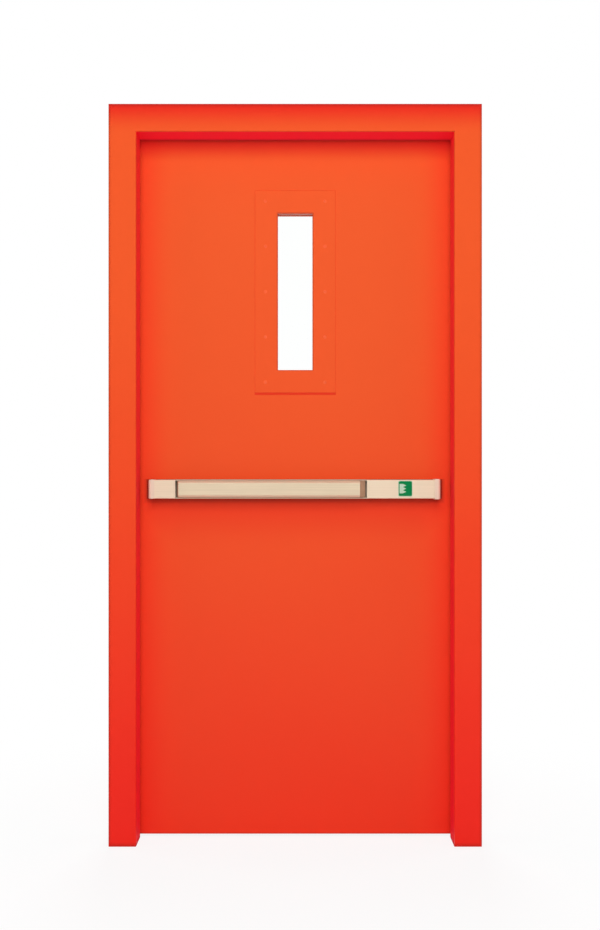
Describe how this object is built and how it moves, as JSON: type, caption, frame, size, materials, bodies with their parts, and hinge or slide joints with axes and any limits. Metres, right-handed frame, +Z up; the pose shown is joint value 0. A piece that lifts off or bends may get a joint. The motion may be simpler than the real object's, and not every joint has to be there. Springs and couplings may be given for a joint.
{
  "type": "steel utility door",
  "caption": "Orange-red steel utility door in a folded frame, with a narrow vision panel and a touch bar that draws the latch.",
  "frame": {"origin": "middle of the flat underside of the hinge-jamb floor anchor, on the finished floor", "axes": "+Z up, +X from the latch jamb to the hinge jamb, +Y from the push side to the pull side"},
  "size_m": [1.056, 0.161, 2.1],
  "materials": {
    "orange_red_paint": "satin",
    "zinc_plated_steel": "satin",
    "satin_steel": "satin",
    "champagne_aluminium": "satin",
    "bronze_plastic": "matte",
    "black_rubber": "matte",
    "pale_glazing_tape": "matte",
    "clear_glass": "gloss",
    "dark_nylon": "matte"
  },
  "bodies": {
    "frame": {"hinge_jamb": "orange_red_paint", "latch_jamb": "orange_red_paint", "frame_head": "orange_red_paint", "hinge_jamb_floor_anchor": "zinc_plated_steel", "latch_jamb_floor_anchor": "zinc_plated_steel", "hinge_jamb_wall_anchors": "zinc_plated_steel", "latch_jamb_wall_anchors": "zinc_plated_steel", "head_wall_anchors": "zinc_plated_steel", "frame_hinge_backings": "zinc_plated_steel", "strike_plate": "satin_steel", "strike_box": "zinc_plated_steel", "hinge_jamb_seal": "black_rubber", "latch_jamb_seal": "black_rubber", "head_seal": "black_rubber", "lower_hinge_frame_flap": "satin_steel", "middle_hinge_frame_flap": "satin_steel", "upper_hinge_frame_flap": "satin_steel", "lower_hinge_pin": "satin_steel", "middle_hinge_pin": "satin_steel", "upper_hinge_pin": "satin_steel"},
    "leaf": {"leaf_push_skin": "orange_red_paint", "leaf_pull_skin": "orange_red_paint", "leaf_top_channel": "orange_red_paint", "leaf_bottom_channel": "orange_red_paint", "leaf_hinge_backings": "zinc_plated_steel", "lower_hinge_leaf_flap": "satin_steel", "middle_hinge_leaf_flap": "satin_steel", "upper_hinge_leaf_flap": "satin_steel", "push_side_glazing_bead": "orange_red_paint", "pull_side_glazing_bead": "orange_red_paint", "vision_glass": "clear_glass", "push_side_glazing_gasket": "pale_glazing_tape", "pull_side_glazing_gasket": "pale_glazing_tape", "lock_forend": "satin_steel", "lock_case": "zinc_plated_steel", "exit_bar_rail": "champagne_aluminium", "exit_bar_latch_cover": "champagne_aluminium", "exit_bar_hinge_cover": "champagne_aluminium", "exit_bar_latch_end_cap": "champagne_aluminium", "exit_bar_hinge_end_cap": "champagne_aluminium", "exit_bar_pad_guides": "dark_nylon"},
    "exit_pad": {"push_pad": "champagne_aluminium", "push_pad_end_plugs": "bronze_plastic"},
    "latch": {"latch_bolt": "satin_steel"}
  },
  "joints": [
    {"name": "leaf_swing", "type": "hinge", "parent": "frame", "child": "leaf", "pos_m": [-0.0215, 0.1035, 1], "axis": [0, 0, -1], "range_deg": [0, 180]},
    {"name": "pad_press", "type": "slide", "parent": "leaf", "child": "exit_pad", "axis": [0, 1, 0], "range_m": [0, 0.015], "stiffness_N_per_m": 1500, "springref_m": -0.012},
    {"name": "latch_draw", "type": "slide", "parent": "leaf", "child": "latch", "axis": [1, 0, 0], "range_m": [0, 0.014]}
  ],
  "couplings": [
    {"joint": "latch_draw", "follows": "pad_press", "ratio": 0.93333}
  ]
}
